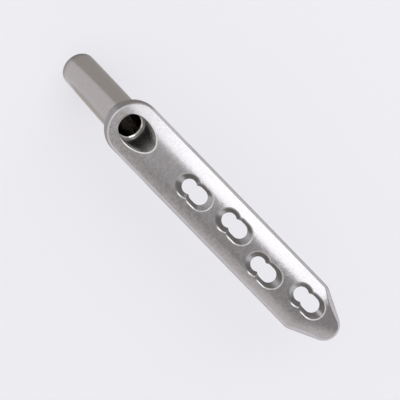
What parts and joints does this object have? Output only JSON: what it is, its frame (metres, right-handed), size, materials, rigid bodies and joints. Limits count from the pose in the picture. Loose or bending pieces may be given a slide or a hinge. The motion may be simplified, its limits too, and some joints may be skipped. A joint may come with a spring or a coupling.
{
  "type": "orthopedic bone plate",
  "caption": "Side plate for a broken hip: straight shaft with staggered combination screw holes and an oblique barrel that guides a lag screw.",
  "frame": {"origin": "where the barrel's axis crosses the middle line of the bone side", "axes": "+X along the shaft to the tip, +Y across the shaft, +Z out of the outer (lateral) face; the barrel runs to -X and -Z"},
  "size_m": [0.128, 0.019, 0.0367],
  "materials": {
    "implant_steel": "satin, fine-blasted plate with smooth machined barrel, bore and screw holes"
  },
  "bodies": {
    "root": {"barrel_plate": "implant_steel"}
  },
  "joints": []
}
